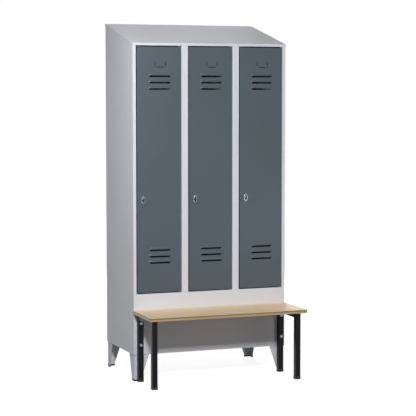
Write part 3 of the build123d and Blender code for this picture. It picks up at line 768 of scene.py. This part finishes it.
@dataclass
class LockerBody:
    """The folded steel body with its roof, feet and inner trays, and the spot welds that join them."""

    finishes: FinishBook
    nodes: dict[str, bpy.types.Object]
    names: tuple[str, ...] = (
        "side_panel_left", "side_panel_right", "rear_panel", "roof_panel", "base_panel",
        "compartment_floor", "top_rail", "lower_front_panel", "mullion_left", "mullion_right",
        "partition_left", "partition_right", "foot_front_left", "foot_front_right", "foot_rear_left",
        "foot_rear_right", "foot_caps", "hinge_pins", "door_buffers",
    )
    weld_pitch: float = 0.110
    flange_middle: float = 0.010
    rim_middle: float = 0.008
    end_distance: float = 0.045
    roof_slope: float = 0.24

    def dress(self) -> None:
        """Gives each node of the body its finish."""
        for name in self.names:
            self.finishes.dress_node(self.nodes[name])

    def spaced(self, low: float, high: float) -> np.ndarray:
        """Places from low to high, at about the welds' pitch."""
        return np.linspace(low, high, max(2, round((high - low) / self.weld_pitch) + 1))

    def rear_welds(self) -> None:
        """Spots the rear flanges, and the partitions' flanges through the rear panel."""
        side_low, side_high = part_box("side_panel_left")
        panel_low, panel_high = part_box("rear_panel")
        heights = self.spaced(side_low.z + self.end_distance, side_high.z - 2 * self.end_distance)
        flange_x = -side_low.x - self.flange_middle
        columns = [(x, side_high.y) for x in (-flange_x, flange_x)]
        for name in ("partition_left", "partition_right"):
            low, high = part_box(name)
            columns.append((high.x - self.flange_middle / 2, panel_high.y))
        places = np.concatenate([
            np.stack([np.full_like(heights, x), np.full_like(heights, y), heights], -1)
            for x, y in columns])
        piece = SpotWelds().build("spot_welds_rear", places, (0.0, 1.0, 0.0))
        self.finishes.dress_piece(piece, Slot.BODY, "locker")

    def side_welds(self) -> None:
        """Spots the sides where the base, the compartments' floor and the hat shelves meet them."""
        low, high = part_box("side_panel_left")
        depths = self.spaced(low.y + 2 * self.end_distance, high.y - self.end_distance)
        levels = [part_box("base_panel")[0].z + self.rim_middle,
                  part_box("compartment_floor")[1].z - self.rim_middle,
                  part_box("hat_shelf_left")[1].z - self.rim_middle]
        for hand in Hand:
            side_x = np.full_like(depths, hand.value * -low.x)
            places = np.concatenate([
                np.stack([side_x, depths, np.full_like(depths, z)], -1) for z in levels])
            name = f"spot_welds_{hand.name.lower()}"
            piece = SpotWelds().build(name, places, (float(hand.value), 0.0, 0.0))
            self.finishes.dress_piece(piece, Slot.BODY, "locker")

    def roof_welds(self) -> None:
        """Spots the roof's side rims, along lines that fall to the front with its slope."""
        low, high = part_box("roof_panel")
        depths = self.spaced(low.y + self.end_distance, high.y - self.end_distance)
        heights = high.z - self.rim_middle - self.roof_slope * (high.y - depths)
        for hand in Hand:
            places = np.stack([np.full_like(depths, hand.value * high.x), depths, heights], -1)
            name = f"spot_welds_roof_{hand.name.lower()}"
            piece = SpotWelds().build(name, places, (float(hand.value), 0.0, 0.0))
            self.finishes.dress_piece(piece, Slot.BODY, "locker")

    def build(self) -> None:
        """Dresses the body and spots its joints."""
        self.dress()
        self.rear_welds()
        self.side_welds()
        self.roof_welds()


@dataclass
class CloakFittings:
    """One bay's hat shelf, coat rail and sliding hook."""

    finishes: FinishBook
    nodes: dict[str, bpy.types.Object]
    bay: Bay

    def build(self) -> None:
        """Gives each node of the fittings its finish."""
        for kind in ("hat_shelf", "coat_rail", "coat_hook"):
            self.finishes.dress_node(self.nodes[f"{kind}_{self.bay.value}"])


@dataclass
class Door:
    """One bay's door with its stiffener and bushes, and the welds in the corners of its folded edge."""

    finishes: FinishBook
    nodes: dict[str, bpy.types.Object]
    bay: Bay
    fold: float = 0.012
    corner_gap: float = 0.0015

    def corner_beads(self) -> None:
        """Puts a bead on the mitre of each rear corner, from the outer corner to the inner one."""
        low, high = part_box(f"door_panel_{self.bay.value}")
        rear = high.y
        starts, ends = [], []
        for x, step_x in ((low.x, 1), (high.x, -1)):
            for z, step_z in ((low.z, 1), (high.z, -1)):
                starts.append((x + step_x * self.corner_gap, rear, z + step_z * self.corner_gap))
                reach = self.fold - self.corner_gap
                ends.append((x + step_x * reach, rear, z + step_z * reach))
        beads = WeldBeads(radius=0.0009, ripple=0.10, pitch=0.0016, steps=40, sides=8)
        piece = beads.build(f"door_corner_welds_{self.bay.value}", np.array(starts), np.array(ends))
        self.finishes.dress_piece(piece, Slot.DOOR, f"door_{self.bay.value}")

    def build(self) -> None:
        """Dresses the door and welds its corners."""
        for kind in ("door_panel", "door_stiffener", "door_bushes"):
            self.finishes.dress_node(self.nodes[f"{kind}_{self.bay.value}"])
        self.corner_beads()


@dataclass
class TurnLatch:
    """One door's oval turn latch."""

    finishes: FinishBook
    nodes: dict[str, bpy.types.Object]
    bay: Bay

    def build(self) -> None:
        """Gives each node of the latch its finish."""
        for kind in ("latch_plate", "latch_knob", "latch_cam"):
            self.finishes.dress_node(self.nodes[f"{kind}_{self.bay.value}"])


@dataclass
class Bench:
    """The bench on its two welded frames of square tube."""

    finishes: FinishBook
    nodes: dict[str, bpy.types.Object]
    names: tuple[str, ...] = (
        "seat_board", "seat_stiffener", "bench_front_leg_left", "bench_front_leg_right",
        "bench_rear_leg_left", "bench_rear_leg_right", "bench_side_rail_left", "bench_side_rail_right",
        "bench_leg_caps", "bench_bolts", "bench_nuts", "seat_screws",
    )
    bead_inset: float = 0.003

    def corner_beads(self) -> None:
        """Welds each inner corner of leg and side rail, across the tube."""
        rail_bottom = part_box("bench_side_rail_left")[0].z
        starts, ends = [], []
        for hand in Hand:
            side = hand.name.lower()
            front_low, front_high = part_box(f"bench_front_leg_{side}")
            rear_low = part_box(f"bench_rear_leg_{side}")[0]
            for y in (front_high.y, rear_low.y):
                starts.append((front_low.x + self.bead_inset, y, rail_bottom))
                ends.append((front_high.x - self.bead_inset, y, rail_bottom))
        piece = WeldBeads().build("bench_corner_welds", np.array(starts), np.array(ends))
        self.finishes.dress_piece(piece, Slot.BENCH, "locker")

    def stiffener_beads(self) -> None:
        """Welds the seat's angle to the side rails, down its upright leg."""
        low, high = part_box("seat_stiffener")
        starts = np.array([(x, low.y, high.z - self.bead_inset) for x in (low.x, high.x)])
        ends = np.array([(x, low.y, low.z + self.bead_inset) for x in (low.x, high.x)])
        piece = WeldBeads(radius=0.0020).build("seat_stiffener_welds", starts, ends)
        self.finishes.dress_piece(piece, Slot.BENCH, "locker")

    def build(self) -> None:
        """Dresses the bench and welds its frames."""
        for name in self.names:
            self.finishes.dress_node(self.nodes[name])
        self.corner_beads()
        self.stiffener_beads()


# Studio


@dataclass(frozen=True)
class SoftBox:
    """A rectangular soft light that faces a target."""

    name: str
    place: Triple
    target: Triple
    width: float
    height: float
    power: float

    def build(self) -> None:
        """Hangs the light."""
        data = bpy.data.lights.new(self.name, "AREA")
        data.shape = "RECTANGLE"
        data.size, data.size_y = self.width, self.height
        data.energy = self.power
        lamp = bpy.data.objects.new(self.name, data)
        lamp.location = self.place
        lamp.rotation_euler = (Vector(self.target) - Vector(self.place)).to_track_quat("-Z", "Y").to_euler()
        lamp.visible_camera = False
        bpy.context.scene.collection.objects.link(lamp)
        LOG.info("light %s", self.name)


def standard_lights() -> tuple[SoftBox, ...]:
    """A small key light at the upper left, weak fills at the left and right, and one behind.

    Returns:
        The lights.
    """
    return (
        SoftBox("key_light", (-1.5, -3.5, 2.6), (0.0, 0.0, 1.0), 0.4, 0.4, 114.0),
        SoftBox("strip_light", (-1.1, -0.55, 1.65), (-0.45, 0.0, 1.45), 0.25, 1.4, 3.6),
        SoftBox("low_fill", (1.8, -2.6, 0.9), (0.0, -0.2, 0.6), 1.4, 1.0, 5.5),
        SoftBox("band_light", (0.62, -0.75, 0.80), (0.25, -0.1, 0.44), 0.3, 0.3, 0.5),
        SoftBox("right_fill", (3.3, 2.1, 0.9), (0.45, 0.15, 1.0), 1.4, 1.2, 20.0),
        SoftBox("back_light", (1.0, 4.2, 2.3), (0.0, 0.3, 1.0), 2.0, 1.85, 84.0),
    )


@dataclass
class Studio:
    """A pale floor and a white surround that lights little by itself, with soft lights."""

    lights: tuple[SoftBox, ...] = field(default_factory=standard_lights)
    ambient: float = 0.05
    floor_half: float = 30.0
    floor_colour: Colour = (0.34, 0.335, 0.32, 1.0)
    near_lift: float = 0.88
    far_lift: float = 1.00
    near_radius: float = 1.0
    far_radius: float = 4.0

    def seen_share(self, tree: bpy.types.NodeTree) -> Socket:
        """1 for rays from the camera, a reflection or glass, and 0 for those that only light things.

        Args:
            tree: The node tree that gets the nodes.

        Returns:
            The share.
        """
        path = tree.nodes.new("ShaderNodeLightPath")
        share = path.outputs["Is Camera Ray"]
        for kind in ("Is Glossy Ray", "Is Transmission Ray"):
            most = tree.nodes.new("ShaderNodeMath")
            most.operation = "MAXIMUM"
            tree.links.new(share, most.inputs[0])
            tree.links.new(path.outputs[kind], most.inputs[1])
            share = most.outputs["Value"]
        return share

    def surround(self) -> None:
        """Makes the world: white where it is seen, and an even grey where it lights."""
        world = bpy.data.worlds.new("studio_surround")
        world.use_nodes = True
        tree = world.node_tree
        tree.nodes.clear()
        output = tree.nodes.new("ShaderNodeOutputWorld")
        mix = tree.nodes.new("ShaderNodeMixShader")
        tree.links.new(self.seen_share(tree), mix.inputs[0])
        for socket, strength in ((1, self.ambient), (2, 1.0)):
            sky = tree.nodes.new("ShaderNodeBackground")
            sky.inputs["Color"].default_value = (1.0, 1.0, 1.0, 1.0)
            sky.inputs["Strength"].default_value = strength
            tree.links.new(sky.outputs[0], mix.inputs[socket])
        tree.links.new(mix.outputs[0], output.inputs["Surface"])
        bpy.context.scene.world = world

    def floor(self) -> None:
        """Lays the floor, which looks white away from the object and keeps the shadow near it.

        What is added to its lit colour where it is seen grows from near_lift at near_radius from the
        origin to far_lift at far_radius, because the lights reach less far.
        """
        graph = Graph("pale_floor")
        tree = graph.tree
        distance = graph.add("ShaderNodeVectorMath", {0: graph.place}, operation="LENGTH").outputs["Value"]
        lift = graph.spread(distance, (self.near_radius, self.far_radius), (self.near_lift, self.far_lift))
        strength = graph.maths("MULTIPLY", lift, self.seen_share(tree))
        glow = graph.add("ShaderNodeEmission", {"Color": (1.0, 1.0, 1.0, 1.0), "Strength": strength})
        matt = graph.add("ShaderNodeBsdfDiffuse", {"Color": self.floor_colour})
        both = graph.add("ShaderNodeAddShader", {0: matt.outputs[0], 1: glow.outputs[0]})
        tree.links.new(both.outputs[0], graph.output.inputs["Surface"])
        tree.nodes.remove(graph.shader)
        mesh = bpy.data.meshes.new("studio_floor")
        half = self.floor_half
        corners = [(-half, -half, 0), (half, -half, 0), (half, half, 0), (-half, half, 0)]
        mesh.from_pydata(corners, [], [(0, 1, 2, 3)])
        mesh.materials.append(graph.material)
        piece = bpy.data.objects.new("studio_floor", mesh)
        bpy.context.scene.collection.objects.link(piece)

    def build(self) -> None:
        """Sets the whole studio."""
        self.surround()
        self.floor()
        for light in self.lights:
            light.build()


@dataclass(frozen=True)
class ViewCamera:
    """The camera that was fitted to the edges in the photograph, with no lens shift."""

    place: Triple = (-2.94853, -7.78120, 1.59199)
    turn: float = 20.899
    dip: float = 4.516
    focal_pixels: float = 1489.08
    image_pixels: int = 416
    sensor: float = 36.0
    clip: Span = (0.1, 200.0)

    def build(self) -> None:
        """Makes the camera and lets the scene look through it.

        The lens is the focal length in pixels times the sensor's width over the image's width.
        """
        data = bpy.data.cameras.new("view_camera")
        data.sensor_width = self.sensor
        data.lens = self.focal_pixels * self.sensor / self.image_pixels
        data.clip_start, data.clip_end = self.clip
        camera = bpy.data.objects.new("view_camera", data)
        camera.location = self.place
        camera.rotation_euler = (math.radians(90 - self.dip), 0.0, math.radians(-self.turn))
        bpy.context.scene.collection.objects.link(camera)
        bpy.context.scene.camera = camera


def main() -> None:
    """Loads the part, dresses it, and sets the studio and the camera."""
    logging.basicConfig(level=logging.INFO, format="%(name)s: %(message)s")
    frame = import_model()
    ViewCamera().build()
    nodes = frame["nodes"]
    finishes = FinishBook(frame["record"])
    LockerBody(finishes, nodes).build()
    for bay in Bay:
        CloakFittings(finishes, nodes, bay).build()
        Door(finishes, nodes, bay).build()
        TurnLatch(finishes, nodes, bay).build()
    Bench(finishes, nodes).build()
    Studio().build()
    bpy.context.scene.view_settings.view_transform = "Standard"


if __name__ == "__main__":
    main()
